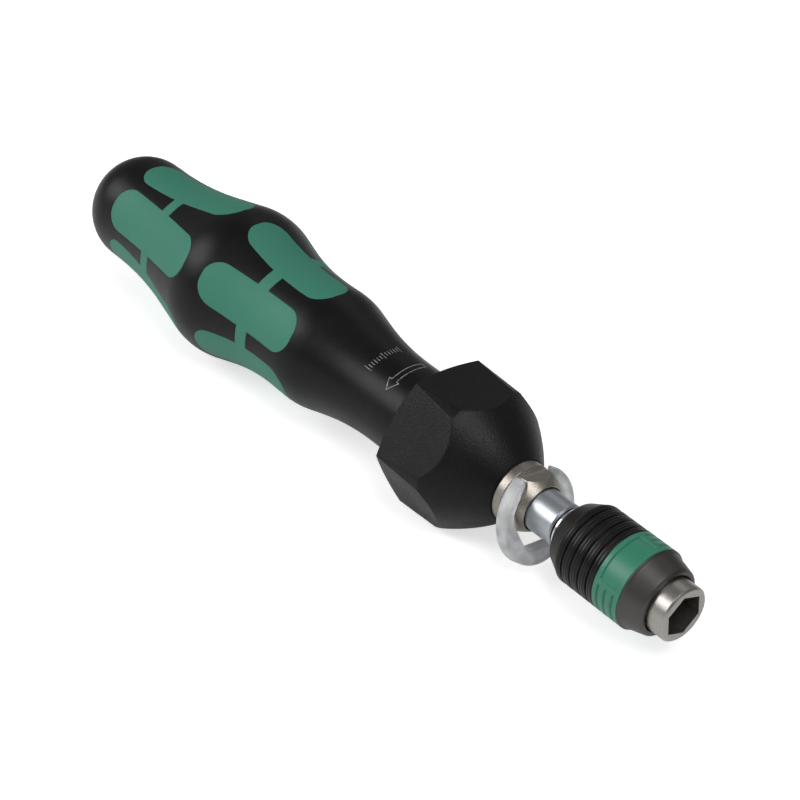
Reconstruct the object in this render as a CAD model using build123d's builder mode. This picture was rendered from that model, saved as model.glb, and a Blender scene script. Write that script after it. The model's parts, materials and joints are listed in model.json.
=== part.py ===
"""Adjustable torque screwdriver with a quick-release bit chuck, in millimetres.

The tool's axis is the X axis. The origin is the centre of the bit socket's mouth, +X points out of
the socket, and +Z is up as the tool lies on a table, on one flat of its hexagonal nose.
"""
from build123d import *
from math import cos, radians, sin
import os

os.makedirs("parts", exist_ok=True)

# Bit socket and chuck body; the spindle stands turned by spindle_turn_at_rest against the handle
spindle_turn_at_rest = 12.8
bit_across_flats = 6.35
bit_play = 0.15
socket_depth = 14.0
socket_lead_in = 0.35
bushing_radius = 5.35
bushing_reach = 3.5
bushing_edge = 0.35
bushing_length = 15.2
body_neck_radius = 4.55
body_neck_length = 11.3
ejector_well_radius = 2.9
ejector_well_depth = 5.2
spigot_radius = 2.55
spigot_length = 6.2

# Release sleeve, its grip and its rear collar
front_cone_length = 4.45
front_cone_lip = 0.55
front_cone_gap = 0.3
front_cone_edge = 0.4
sleeve_tube_wall = 0.6
sleeve_play = 0.08
sleeve_travel = 2.5
marker_ring_width = 5.98
marker_ring_depth = 0.95
grip_seat_wall = 0.39
grip_length = 9.0
grip_rib_count = 4
grip_rib_depth = 0.3
grip_play = 0.06
grip_end_gap = 0.1
collar_length = 4.27
collar_step = 0.2
collar_shoulder_radius = 6.25
collar_shoulder_length = 1.15
collar_round = 1.2
collar_tail_radius = 4.75
collar_socket_depth = 1.6

# Lock balls and their ramp in the release sleeve
lock_ball_radius = 1.35
lock_ball_station = 5.0
lock_ball_grip = 0.55
ramp_lead = 0.3
ramp_length = 1.2
ball_recess_depth = 0.6
ball_recess_wall = 0.52
ball_recess_length = 2.7

# Chuck springs, stop ring and ejector
sleeve_spring_wire = 0.5
sleeve_spring_turns = 5
stop_ring_width = 0.9
stop_ring_bite = 0.35
ejector_head_radius = 2.55
ejector_head_length = 1.6
ejector_stem_radius = 1.1
ejector_rest_depth = 9.6
ejector_travel = 3.0
ejector_spring_wire = 0.4
ejector_spring_turns = 6

# Drive spindle
shaft_radius = 4.25
shaft_showing = 6.1
shaft_edge = 0.3
neck_radius = 3.6
neck_gap = 1.25
spindle_thick_length = 23.6
spindle_thin_radius = 2.9
flange_gap = 0.4
flange_thickness = 3.2
tail_radius = 2.4
tail_end = 1.05

# Adjusting nut and its lock clip
nut_across_flats = 10.6
nut_corner_radius = 6.05
nut_base_radius = 6.2
nut_base_showing = 0.5
nut_turn_at_rest = -6.0
nut_showing = 6.5
nut_front_radius = 4.65
nut_chamfer_length = 2.3
nut_shank_length = 12.6
nut_collar_radius = 7.3
nut_collar_length = 6.0
nut_play = 0.08
thread_pitch = 0.75
thread_depth = 0.4
adjusting_turns = 2.0
clip_outer_radius = 9.15
clip_hole_across_flats = 11.4
clip_slot = 8.2
clip_thickness = 2.8
clip_edge = 0.6
clip_tilt = 15.0
clip_yaw = 4.0
clip_setback = 1.35
clip_sag = 2.1

# Hexagonal nose
nose_across_flats = 26.2
nose_length = 24.0
nose_lip = 0.1
nose_dish = 2.45
nose_barrel_radius_rear = 15.05
nose_barrel_radius_front = 14.45
nose_dome_length = 10.8
nose_dome_rise = 0.5

# Handle, measured forward from its rear end; corners of its outline and the radii that round them
rear_round = 10.0
barrel_radius = 11.4
barrel_station = 23.1
barrel_round = 88.0
bulge_station = 44.6
bulge_corner_radius = 16.5
bulge_round = 15.5
waist_station = 60.15
waist_radius = 12.2
waist_round = 50.0
ridge_station = 74.0
ridge_corner_radius = 12.5
ridge_round = 18.5
neck_station = 87.15
neck_length = 15.85
handle_neck_radius = 9.05
neck_round = 57.0

# Grip inlays: two rows of six pads, each row joined into one ring by a narrow band
pad_count = 6
inlay_depth = 1.2
rear_pad_station = 27.95
rear_pad_length = 30.3
rear_pad_width = 9.35
front_pad_station = 60.9
front_pad_length = 25.4
front_pad_width = 9.1
pad_corner = 3.9
bridge_width = 2.9

# Clutch tube and what it holds
tube_wall = 1.1
seat_standing_out = 0.64
tube_end_room = 4.0
key_width = 2.0
key_depth = 0.45
slide_play = 0.06
seat_nose_length = 1.2
seat_length = 4.6
spring_wire = 1.5
spring_turns = 8
spring_length = 36.0
cam_thickness = 3.4
clutch_ball_radius = 1.3
clutch_ball_play = 0.15
clutch_ball_count = 6
detent_count = 12
detent_sink = 0.28
bearing_ball_radius = 0.9
bearing_ball_count = 8
cage_thickness = 1.0
washer_thickness = 1.2
plug_length = 7.0
circlip_width = 0.7
circlip_radius = 3.5
circlip_gap = 0.25

running_play = 0.06

# Stations along X, from the socket's mouth back to the handle's rear end
sleeve_front_x = -bushing_reach
cone_rear_x = sleeve_front_x - front_cone_length
ring_rear_x = cone_rear_x - marker_ring_width
grip_rear_x = ring_rear_x - grip_length
collar_rear_x = grip_rear_x - collar_length
shoulder_x = collar_rear_x - neck_gap
nut_front_x = shoulder_x - shaft_showing
nose_front_x = nut_front_x - nut_showing
nose_rear_x = nose_front_x - nose_length
handle_length = neck_station + neck_length
handle_rear_x = nose_rear_x - handle_length

nut_collar_front_x = nut_front_x - nut_shank_length
nut_rear_x = nut_collar_front_x - nut_collar_length
nose_hole_radius = nut_base_radius + nut_play
annulus_radius = spindle_thin_radius + clutch_ball_play + clutch_ball_radius
tube_bore = annulus_radius + clutch_ball_radius + clutch_ball_play
tube_radius = tube_bore + tube_wall
flange_radius = tube_bore - flange_gap
bearing_circle = (tail_radius + flange_radius) / 2
nut_travel = adjusting_turns * thread_pitch

sleeve_bore = bushing_radius + sleeve_play
front_cone_mouth_radius = bushing_radius + front_cone_gap + front_cone_lip + front_cone_edge
sleeve_tube_radius = sleeve_bore + ball_recess_depth + ball_recess_wall
grip_bore = sleeve_tube_radius + grip_play
ring_seat_radius = grip_bore + grip_seat_wall
sleeve_radius = ring_seat_radius + marker_ring_depth
collar_front_radius = sleeve_radius - collar_step

socket_radius = (bit_across_flats + bit_play) / 2
bushing_rear_x = -bushing_length
body_rear_x = bushing_rear_x - body_neck_length

# Stations of what the clutch tube holds
seat_front_x = nut_rear_x - running_play
seat_rear_x = seat_front_x - seat_length
tube_front_x = seat_front_x - seat_nose_length - seat_standing_out
spring_rear_x = seat_rear_x - spring_length
cam_rear_x = spring_rear_x - cam_thickness
flange_front_x = cam_rear_x - (clutch_ball_radius - detent_sink)
flange_rear_x = flange_front_x - flange_thickness
washer_front_x = flange_rear_x - 2 * bearing_ball_radius
washer_rear_x = washer_front_x - washer_thickness
plug_rear_x = washer_rear_x - plug_length
circlip_front_x = plug_rear_x - circlip_gap
circlip_rear_x = circlip_front_x - circlip_width
spindle_rear_x = circlip_rear_x - tail_end
tube_rear_x = spindle_rear_x - tube_end_room


def cross_plane(x):
    """Plane square to the tool's axis at station x, its own x axis along +Y."""
    return Plane(origin=(x, 0, 0), x_dir=(0, 1, 0), z_dir=(1, 0, 0))


def finish(part, name):
    """Label a finished piece and write its file."""
    part.label = name
    export_step(part, "parts/" + name + ".step")


# Handle outline: straight flanks rounded into each other, then the domed rear end
def handle_x(station):
    """X of a station measured forward from the handle's rear end."""
    return handle_rear_x + station


handle_corners = [
    (handle_length, handle_neck_radius),
    (neck_station, handle_neck_radius),
    (ridge_station, ridge_corner_radius),
    (waist_station, waist_radius),
    (bulge_station, bulge_corner_radius),
    (barrel_station, barrel_radius),
    (0, barrel_radius),
    (0, 0),
]
handle_rounds = [neck_round, ridge_round, waist_round, bulge_round, barrel_round, rear_round]

with BuildSketch(Plane.XY) as handle_section:
    with BuildLine():
        run = FilletPolyline([(handle_x(s), r) for s, r in handle_corners], radius=handle_rounds)
        Polyline([run @ 1, (handle_x(handle_length), 0), run @ 0])
    make_face()


# Pockets for the soft rings: pad outlines cut square into the handle's skin, joined by a band, down
# to a floor of straight flanks
pocket_stand_off = bulge_corner_radius + inlay_depth
pocket_floor = barrel_radius - 1.5 * inlay_depth
with BuildSketch(Plane.XY) as floor_section:
    with BuildLine():
        floor_run = Polyline([(handle_x(s), r - inlay_depth) for s, r in handle_corners[:-1]])
        Polyline([floor_run @ 1, (handle_rear_x, 0), (handle_x(handle_length), 0), floor_run @ 0])
    make_face()


def pad_pocket(station, length, width):
    """Cutting form of one ring of pads, hollow below the inlay's depth."""
    pad_x = handle_x(station)
    with BuildPart() as pocket:
        for k in range(pad_count):
            angle = radians(360 * k / pad_count)
            outward = (0, sin(angle), cos(angle))
            top = (pad_x, pocket_stand_off * sin(angle), pocket_stand_off * cos(angle))
            with BuildSketch(Plane(origin=top, x_dir=(1, 0, 0), z_dir=outward)):
                RectangleRounded(length, width, pad_corner)
            extrude(amount=-(pocket_stand_off - pocket_floor))
        with BuildSketch(cross_plane(pad_x - bridge_width / 2)):
            Circle(pocket_stand_off)
            Circle(pocket_floor, mode=Mode.SUBTRACT)
        extrude(amount=bridge_width)
        revolve(floor_section.sketch, axis=Axis.X, mode=Mode.SUBTRACT)
    return pocket.part


rear_pocket = pad_pocket(rear_pad_station, rear_pad_length, rear_pad_width)
front_pocket = pad_pocket(front_pad_station, front_pad_length, front_pad_width)

with BuildPart() as grip_inlay_rear:
    add(rear_pocket)
    revolve(handle_section.sketch, axis=Axis.X, mode=Mode.INTERSECT)
finish(grip_inlay_rear.part, "grip_inlay_rear")

with BuildPart() as grip_inlay_front:
    add(front_pocket)
    revolve(handle_section.sketch, axis=Axis.X, mode=Mode.INTERSECT)
finish(grip_inlay_front.part, "grip_inlay_front")

# Handle core: the hard moulding, pocketed for the soft rings and bored for the clutch tube
with BuildPart() as handle_core:
    revolve(handle_section.sketch, axis=Axis.X)
    add(rear_pocket, mode=Mode.SUBTRACT)
    add(front_pocket, mode=Mode.SUBTRACT)
    with BuildSketch(cross_plane(nose_rear_x)):
        Circle(tube_radius)
    extrude(amount=-(nose_rear_x - tube_rear_x), mode=Mode.SUBTRACT)
finish(handle_core.part, "handle_core")

# Nose housing: a hexagonal prism trimmed by a turned form, with a dished rear and a domed front
nose_flat = nose_across_flats / 2
nose_bore = nut_collar_radius + nut_play
nose_bore_front_x = nut_collar_front_x + nut_play + circlip_gap
nose_dome_rear_x = nose_front_x - nose_dome_length
with BuildPart() as nose_housing:
    with BuildSketch(cross_plane(nose_rear_x)):
        RegularPolygon(nose_flat, 6, major_radius=False)
    extrude(amount=nose_length)
    with BuildSketch(Plane.XY):
        with BuildLine():
            dome = SagittaArc(
                (nose_dome_rear_x, nose_barrel_radius_front),
                (nose_front_x, nose_hole_radius + nose_lip),
                nose_dome_rise,
            )
            Polyline(
                [
                    dome @ 1,
                    (nose_front_x, 0),
                    (nose_rear_x, 0),
                    (nose_rear_x, handle_neck_radius),
                    (nose_rear_x + nose_dish, nose_barrel_radius_rear),
                    dome @ 0,
                ]
            )
        make_face()
    revolve(axis=Axis.X, mode=Mode.INTERSECT)
    with BuildSketch(cross_plane(nose_front_x)):
        Circle(nose_hole_radius)
    extrude(amount=-nose_length, mode=Mode.SUBTRACT)
    with BuildSketch(cross_plane(nose_bore_front_x)):
        Circle(nose_bore)
    extrude(amount=-(nose_bore_front_x - tube_front_x), mode=Mode.SUBTRACT)
    with BuildSketch(cross_plane(tube_front_x)):
        Circle(tube_radius)
    extrude(amount=nose_rear_x - tube_front_x, mode=Mode.SUBTRACT)
finish(nose_housing.part, "nose_housing")

# Clutch tube: steel liner of handle and nose, with two long keyways for the cam disc
with BuildPart() as clutch_tube:
    with BuildSketch(cross_plane(tube_rear_x)):
        Circle(tube_radius)
        Circle(tube_bore, mode=Mode.SUBTRACT)
        Rectangle(key_width, 2 * (tube_bore + key_depth), mode=Mode.SUBTRACT)
    extrude(amount=tube_front_x - tube_rear_x)
finish(clutch_tube.part, "clutch_tube")

# Adjusting nut: hexagon with a turned front cone on a round base, and a threaded collar in the nose
nut_bore = shaft_radius + running_play
nut_base_front_x = nose_front_x + nut_base_showing
with BuildPart() as adjusting_nut:
    with BuildSketch(cross_plane(nut_collar_front_x)):
        RegularPolygon(nut_across_flats / 2, 6, major_radius=False, rotation=nut_turn_at_rest)
    extrude(amount=nut_shank_length)
    with BuildSketch(Plane.XY):
        with BuildLine():
            Polyline(
                [
                    (nut_front_x, 0),
                    (nut_front_x, nut_front_radius),
                    (nut_front_x - nut_chamfer_length, nut_corner_radius),
                    (nut_collar_front_x, nut_corner_radius),
                    (nut_collar_front_x, 0),
                ],
                close=True,
            )
        make_face()
    revolve(axis=Axis.X, mode=Mode.INTERSECT)
    with BuildSketch(cross_plane(nut_collar_front_x)):
        Circle(nut_base_radius)
    extrude(amount=nut_base_front_x - nut_collar_front_x)
    with BuildSketch(cross_plane(nut_rear_x)):
        Circle(nut_collar_radius)
    extrude(amount=nut_collar_length)
    groove_count = int(nut_collar_length / thread_pitch) - 1
    with BuildSketch(Plane.XY):
        for k in range(groove_count):
            groove_x = nut_rear_x + thread_pitch * (k + 1)
            with Locations((groove_x, nut_collar_radius)):
                Rectangle(thread_pitch / 3, 2 * thread_depth)
    revolve(axis=Axis.X, mode=Mode.SUBTRACT)
    with BuildSketch(cross_plane(nut_rear_x)):
        Circle(nut_bore)
    extrude(amount=nut_collar_length + nut_shank_length, mode=Mode.SUBTRACT)
finish(adjusting_nut.part, "adjusting_nut")

# Lock clip: open clear ring hooked over the nut, its slot upwards, sagging and tilted where it hangs
clip_plane = Plane(
    origin=(nut_front_x - clip_setback, 0, -clip_sag),
    x_dir=(-sin(radians(clip_yaw)), cos(radians(clip_yaw)), 0),
    z_dir=Vector(1, 0, 0).rotate(Axis.Z, clip_yaw).rotate(Axis.Y, -clip_tilt),
)
clip_axis = Axis(clip_plane.origin, clip_plane.z_dir)
clip_hole_flat = clip_hole_across_flats / 2
clip_hole_corner = Vector(clip_hole_flat / cos(radians(30)), 0).rotate(Axis.Z, nut_turn_at_rest)
clip_hole_rise = Vector(0, clip_sag)
clip_slot_centre = Vector(0, clip_outer_radius).rotate(Axis.Z, nut_turn_at_rest)
with BuildPart() as lock_clip:
    with BuildSketch(clip_plane.offset(-clip_thickness / 2)):
        Circle(clip_outer_radius)
        with Locations((0, 0), (0, clip_sag)):
            RegularPolygon(clip_hole_flat, 6, major_radius=False, rotation=nut_turn_at_rest, mode=Mode.SUBTRACT)
        Polygon(
            clip_hole_corner,
            clip_hole_rise + clip_hole_corner,
            clip_hole_rise - clip_hole_corner,
            -clip_hole_corner,
            align=None,
            mode=Mode.SUBTRACT,
        )
        with Locations(clip_slot_centre):
            Rectangle(clip_slot, 2 * clip_hole_flat, rotation=nut_turn_at_rest, mode=Mode.SUBTRACT)
    extrude(amount=clip_thickness)
    fillet(lock_clip.edges().filter_by(clip_axis), clip_edge / 2)
    fillet(lock_clip.edges().filter_by(clip_axis, reverse=True), clip_edge)
finish(lock_clip.part, "lock_clip")

# Spring seat: keyed follower that the nut pushes along the clutch tube
seat_bore = spindle_thin_radius + running_play
keyed_radius = tube_bore - slide_play
key_reach = tube_bore + key_depth - slide_play
with BuildPart() as spring_seat:
    with BuildSketch(cross_plane(seat_rear_x)):
        Circle(keyed_radius)
        Rectangle(key_width - 2 * slide_play, 2 * key_reach)
    extrude(amount=seat_length - seat_nose_length)
    with BuildSketch(cross_plane(seat_rear_x)):
        Circle(keyed_radius)
    extrude(amount=seat_length)
    with BuildSketch(cross_plane(seat_rear_x)):
        Circle(seat_bore)
    extrude(amount=seat_length, mode=Mode.SUBTRACT)
finish(spring_seat.part, "spring_seat")

# Main spring between the seat and the cam disc
def coil(name, front_x, rear_x, mean_radius, wire, turns):
    """Compression spring of square wire along X, the wire's ends just inside the given stations."""
    start_x = rear_x + wire / 2
    rise = front_x - rear_x - wire
    with BuildPart() as spring:
        with BuildLine():
            path = Helix(
                pitch=rise / turns,
                height=rise,
                radius=mean_radius,
                center=(start_x, 0, 0),
                direction=(1, 0, 0),
            )
        with BuildSketch(Plane(origin=path @ 0, z_dir=path % 0)):
            Rectangle(wire, wire)
        sweep(is_frenet=True)
    finish(spring.part, name)


coil("main_spring", seat_rear_x, spring_rear_x, annulus_radius, spring_wire, spring_turns)

# Cam disc: slides in the keyways and presses the clutch balls into the spindle's detents
ball_pocket_radius = clutch_ball_radius + slide_play / 2
with BuildPart() as cam_disc:
    with BuildSketch(cross_plane(cam_rear_x)):
        Circle(keyed_radius)
        Rectangle(key_width - 2 * slide_play, 2 * key_reach)
        Circle(seat_bore, mode=Mode.SUBTRACT)
    extrude(amount=cam_thickness)
    with Locations(cross_plane(cam_rear_x)):
        with PolarLocations(annulus_radius, clutch_ball_count):
            Sphere(ball_pocket_radius, mode=Mode.SUBTRACT)
finish(cam_disc.part, "cam_disc")

with BuildPart() as clutch_balls:
    with Locations(cross_plane(cam_rear_x)):
        with PolarLocations(annulus_radius, clutch_ball_count):
            Sphere(clutch_ball_radius)
finish(clutch_balls.part, "clutch_balls")

# Drive spindle: shaft, neck, spigot in the chuck, thin run through the spring, detent flange, tail
spindle_step_x = shoulder_x - spindle_thick_length
spigot_front_x = body_rear_x + spigot_length
with BuildPart() as drive_spindle:
    with BuildSketch(Plane.XY):
        with BuildLine():
            Polyline(
                [
                    (spigot_front_x, 0),
                    (spigot_front_x, spigot_radius),
                    (body_rear_x, spigot_radius),
                    (body_rear_x, neck_radius),
                    (shoulder_x, neck_radius),
                    (shoulder_x, shaft_radius - shaft_edge),
                    (shoulder_x - shaft_edge, shaft_radius),
                    (spindle_step_x, shaft_radius),
                    (spindle_step_x, spindle_thin_radius),
                    (flange_front_x, spindle_thin_radius),
                    (flange_front_x, flange_radius),
                    (flange_rear_x, flange_radius),
                    (flange_rear_x, tail_radius),
                    (circlip_front_x, tail_radius),
                    (circlip_front_x, tail_radius - stop_ring_bite),
                    (circlip_rear_x, tail_radius - stop_ring_bite),
                    (circlip_rear_x, tail_radius),
                    (spindle_rear_x, tail_radius),
                    (spindle_rear_x, 0),
                ],
                close=True,
            )
        make_face()
    revolve(axis=Axis.X)
    with Locations(cross_plane(cam_rear_x)):
        with PolarLocations(annulus_radius, detent_count):
            Sphere(ball_pocket_radius, mode=Mode.SUBTRACT)
finish(drive_spindle.part, "drive_spindle")

# Thrust bearing behind the flange: balls in a cage, and the washer they run on
bearing_x = flange_rear_x - bearing_ball_radius
with BuildPart() as thrust_balls:
    with Locations(cross_plane(bearing_x)):
        with PolarLocations(bearing_circle, bearing_ball_count):
            Sphere(bearing_ball_radius)
finish(thrust_balls.part, "thrust_balls")

with BuildPart() as thrust_cage:
    with BuildSketch(cross_plane(bearing_x - cage_thickness / 2)):
        Circle(keyed_radius)
        Circle(tail_radius + running_play, mode=Mode.SUBTRACT)
        with PolarLocations(bearing_circle, bearing_ball_count):
            Circle(bearing_ball_radius + running_play / 2, mode=Mode.SUBTRACT)
    extrude(amount=cage_thickness)
finish(thrust_cage.part, "thrust_cage")

with BuildPart() as thrust_washer:
    with BuildSketch(cross_plane(washer_rear_x)):
        Circle(keyed_radius)
        Circle(tail_radius + running_play, mode=Mode.SUBTRACT)
    extrude(amount=washer_thickness)
finish(thrust_washer.part, "thrust_washer")

# Rear plug: closes the clutch tube and carries the spindle's tail
with BuildPart() as rear_plug:
    with BuildSketch(cross_plane(plug_rear_x)):
        Circle(tube_bore)
        Circle(tail_radius + running_play, mode=Mode.SUBTRACT)
    extrude(amount=plug_length)
finish(rear_plug.part, "rear_plug")

with BuildPart() as spindle_circlip:
    with BuildSketch(cross_plane(circlip_rear_x)):
        Circle(circlip_radius)
        Circle(tail_radius - stop_ring_bite, mode=Mode.SUBTRACT)
        with Locations((0, circlip_radius)):
            Rectangle(tail_radius, 2 * tail_radius, mode=Mode.SUBTRACT)
    extrude(amount=circlip_width)
finish(spindle_circlip.part, "spindle_circlip")

# Chuck body: bushing with the hexagonal socket, ball windows, spring neck and spigot bore
window_radius = lock_ball_radius + running_play
turned = radians(spindle_turn_at_rest)
ball_way = (0, cos(turned), sin(turned))
socket_corner_turn = spindle_turn_at_rest + 30
stop_ring_front_x = bushing_rear_x
with BuildPart() as chuck_body:
    with BuildSketch(Plane.XY):
        with BuildLine():
            Polyline(
                [
                    (0, 0),
                    (0, bushing_radius - bushing_edge),
                    (-bushing_edge, bushing_radius),
                    (bushing_rear_x, bushing_radius),
                    (bushing_rear_x, body_neck_radius - stop_ring_bite),
                    (bushing_rear_x - stop_ring_width, body_neck_radius - stop_ring_bite),
                    (bushing_rear_x - stop_ring_width, body_neck_radius),
                    (body_rear_x, body_neck_radius),
                    (body_rear_x, 0),
                ],
                close=True,
            )
        make_face()
    revolve(axis=Axis.X)
    with BuildSketch(cross_plane(0)):
        RegularPolygon(socket_radius, 6, major_radius=False, rotation=socket_corner_turn)
    extrude(amount=-socket_depth, mode=Mode.SUBTRACT)
    with BuildSketch(cross_plane(-socket_lead_in)) as lead_in_foot:
        RegularPolygon(socket_radius, 6, major_radius=False, rotation=socket_corner_turn)
    with BuildSketch(cross_plane(0)) as lead_in_mouth:
        RegularPolygon(socket_radius + socket_lead_in, 6, major_radius=False, rotation=socket_corner_turn)
    loft(sections=[lead_in_foot.sketch, lead_in_mouth.sketch], mode=Mode.SUBTRACT)
    with BuildSketch(cross_plane(-socket_depth)):
        Circle(ejector_well_radius)
    extrude(amount=-ejector_well_depth, mode=Mode.SUBTRACT)
    with BuildSketch(cross_plane(body_rear_x)):
        Circle(spigot_radius)
    extrude(amount=spigot_length, mode=Mode.SUBTRACT)
    with BuildSketch(Plane(origin=(-lock_ball_station, 0, 0), x_dir=(1, 0, 0), z_dir=ball_way)):
        Circle(window_radius)
    extrude(amount=bushing_radius, both=True, mode=Mode.SUBTRACT)
finish(chuck_body.part, "chuck_body")

# Lock balls: they reach into the bit's groove and back out when the sleeve is pulled forward
lock_ball_offset = socket_radius - lock_ball_grip + lock_ball_radius
ball_reach_y = lock_ball_offset * cos(turned)
ball_reach_z = lock_ball_offset * sin(turned)
for ball_name, side in (("lock_ball_left", 1), ("lock_ball_right", -1)):
    with BuildPart() as lock_ball:
        with Locations((-lock_ball_station, side * ball_reach_y, side * ball_reach_z)):
            Sphere(lock_ball_radius)
    finish(lock_ball.part, ball_name)

# Release sleeve: front cone, ball ramp and recess, guide land and the tube that carries the grip
ramp_front_x = ramp_lead - lock_ball_station
recess_front_x = ramp_front_x - ramp_length
recess_rear_x = recess_front_x - ball_recess_length
guide_rear_x = bushing_rear_x + running_play
tube_inner_radius = sleeve_tube_radius - sleeve_tube_wall
sleeve_tail_x = grip_rear_x - grip_end_gap - collar_socket_depth
with BuildPart() as release_sleeve:
    with BuildSketch(Plane.XY):
        with BuildLine():
            Polyline(
                [
                    (sleeve_front_x, bushing_radius + front_cone_gap),
                    (sleeve_front_x, front_cone_mouth_radius - front_cone_edge),
                    (sleeve_front_x - front_cone_edge, front_cone_mouth_radius),
                    (cone_rear_x + front_cone_edge, sleeve_radius - front_cone_edge),
                    (cone_rear_x, sleeve_radius),
                    (cone_rear_x, sleeve_tube_radius),
                    (sleeve_tail_x, sleeve_tube_radius),
                    (sleeve_tail_x, tube_inner_radius),
                    (guide_rear_x, tube_inner_radius),
                    (guide_rear_x, sleeve_bore),
                    (recess_rear_x, sleeve_bore),
                    (recess_rear_x, sleeve_bore + ball_recess_depth),
                    (recess_front_x, sleeve_bore + ball_recess_depth),
                    (ramp_front_x, sleeve_bore),
                    (sleeve_front_x - front_cone_edge, sleeve_bore),
                ],
                close=True,
            )
        make_face()
    revolve(axis=Axis.X)
finish(release_sleeve.part, "release_sleeve")

# Grip sleeve: ribbed black ring that turns freely on the release sleeve
grip_front_x = cone_rear_x - grip_end_gap
rib_pitch = grip_length / (grip_rib_count + 0.5)
with BuildPart() as grip_sleeve:
    with BuildSketch(Plane.XY):
        with BuildLine():
            Polyline(
                [
                    (grip_front_x, grip_bore),
                    (grip_front_x, ring_seat_radius),
                    (ring_rear_x, ring_seat_radius),
                    (ring_rear_x, sleeve_radius),
                    (grip_rear_x, sleeve_radius),
                    (grip_rear_x, grip_bore),
                ],
                close=True,
            )
        make_face()
        for k in range(grip_rib_count):
            groove_x = ring_rear_x - rib_pitch * (k + 0.75)
            with Locations((groove_x, sleeve_radius)):
                Rectangle(grip_rib_depth, 2 * grip_rib_depth, mode=Mode.SUBTRACT)
    revolve(axis=Axis.X)
finish(grip_sleeve.part, "grip_sleeve")

# Marker ring: green ring seated on the front of the grip sleeve
with BuildPart() as marker_ring:
    with BuildSketch(cross_plane(ring_rear_x)):
        Circle(sleeve_radius)
        Circle(ring_seat_radius, mode=Mode.SUBTRACT)
    extrude(amount=marker_ring_width - grip_end_gap)
finish(marker_ring.part, "marker_ring")

# Rear collar: cone pressed over the tail of the release sleeve
collar_front_x = grip_rear_x - grip_end_gap
collar_bore = body_neck_radius + sleeve_play
with BuildPart() as rear_collar:
    with BuildSketch(Plane.XY):
        with BuildLine():
            flank = FilletPolyline(
                [
                    (collar_front_x, collar_front_radius),
                    (collar_rear_x + collar_shoulder_length, collar_shoulder_radius),
                    (collar_rear_x, collar_tail_radius),
                ],
                radius=collar_round,
            )
            Polyline(
                [
                    flank @ 1,
                    (collar_rear_x, collar_bore),
                    (sleeve_tail_x, collar_bore),
                    (sleeve_tail_x, sleeve_tube_radius),
                    (collar_front_x, sleeve_tube_radius),
                    flank @ 0,
                ]
            )
        make_face()
    revolve(axis=Axis.X)
finish(rear_collar.part, "rear_collar")

# Stop ring in the chuck body's groove, and the spring between it and the rear collar
stop_ring_rear_x = stop_ring_front_x - stop_ring_width
with BuildPart() as stop_ring:
    with BuildSketch(cross_plane(stop_ring_rear_x)):
        Circle(tube_inner_radius - sleeve_play)
        Circle(body_neck_radius - stop_ring_bite, mode=Mode.SUBTRACT)
        with Locations((0, tube_inner_radius)):
            Rectangle(body_neck_radius, 2 * (tube_inner_radius - body_neck_radius), mode=Mode.SUBTRACT)
    extrude(amount=stop_ring_width)
finish(stop_ring.part, "stop_ring")

sleeve_spring_radius = (body_neck_radius + tube_inner_radius) / 2
coil(
    "sleeve_spring",
    stop_ring_rear_x,
    sleeve_tail_x,
    sleeve_spring_radius,
    sleeve_spring_wire,
    sleeve_spring_turns,
)

# Ejector pin in the socket, and the spring that lifts the bit out
ejector_front_x = -ejector_rest_depth
ejector_head_rear_x = ejector_front_x - ejector_head_length
well_floor_x = -socket_depth - ejector_well_depth
ejector_stem_x = well_floor_x + ejector_travel + running_play
with BuildPart() as ejector_pin:
    with BuildSketch(cross_plane(ejector_head_rear_x)):
        Circle(ejector_head_radius)
    extrude(amount=ejector_head_length)
    with BuildSketch(cross_plane(ejector_stem_x)):
        Circle(ejector_stem_radius)
    extrude(amount=ejector_head_rear_x - ejector_stem_x)
finish(ejector_pin.part, "ejector_pin")

ejector_spring_radius = (ejector_stem_radius + ejector_head_radius) / 2
coil(
    "ejector_spring",
    ejector_head_rear_x,
    well_floor_x,
    ejector_spring_radius,
    ejector_spring_wire,
    ejector_spring_turns,
)
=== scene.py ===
"""Looks of an adjustable torque screwdriver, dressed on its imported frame. Lengths are in metres."""
import json
from math import cos, hypot, radians, sin

import bmesh
import bpy
from mathutils import Matrix, Vector
from mathutils.bvhtree import BVHTree


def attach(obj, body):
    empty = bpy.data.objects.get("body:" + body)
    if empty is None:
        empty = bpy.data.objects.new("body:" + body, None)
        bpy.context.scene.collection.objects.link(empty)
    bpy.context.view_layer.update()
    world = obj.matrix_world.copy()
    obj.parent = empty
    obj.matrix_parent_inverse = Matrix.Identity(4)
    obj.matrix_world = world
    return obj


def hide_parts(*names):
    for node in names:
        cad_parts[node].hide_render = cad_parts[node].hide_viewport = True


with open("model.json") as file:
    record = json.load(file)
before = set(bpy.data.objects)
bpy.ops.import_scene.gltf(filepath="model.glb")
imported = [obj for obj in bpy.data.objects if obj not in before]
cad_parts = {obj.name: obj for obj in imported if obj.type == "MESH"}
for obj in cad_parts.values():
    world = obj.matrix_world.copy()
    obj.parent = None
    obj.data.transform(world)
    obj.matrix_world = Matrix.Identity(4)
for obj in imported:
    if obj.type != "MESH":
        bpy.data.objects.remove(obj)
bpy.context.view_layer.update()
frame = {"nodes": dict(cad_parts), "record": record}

scene = bpy.context.scene
nodes = frame["nodes"]
MM = 0.001


# Camera, as the photograph was taken: above the bit end, looking back along the tool

EYE = Vector((0.16213, -0.22928, 0.21558))
VIEW_RIGHT = Vector((0.63891, 0.76132, 0.11037))
VIEW_DOWN = Vector((0.4811, -0.28348, -0.82957))
VIEW_FORWARD = Vector((-0.60028, 0.58312, -0.54739))
LENS, SENSOR = 94.5, 36.0


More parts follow.
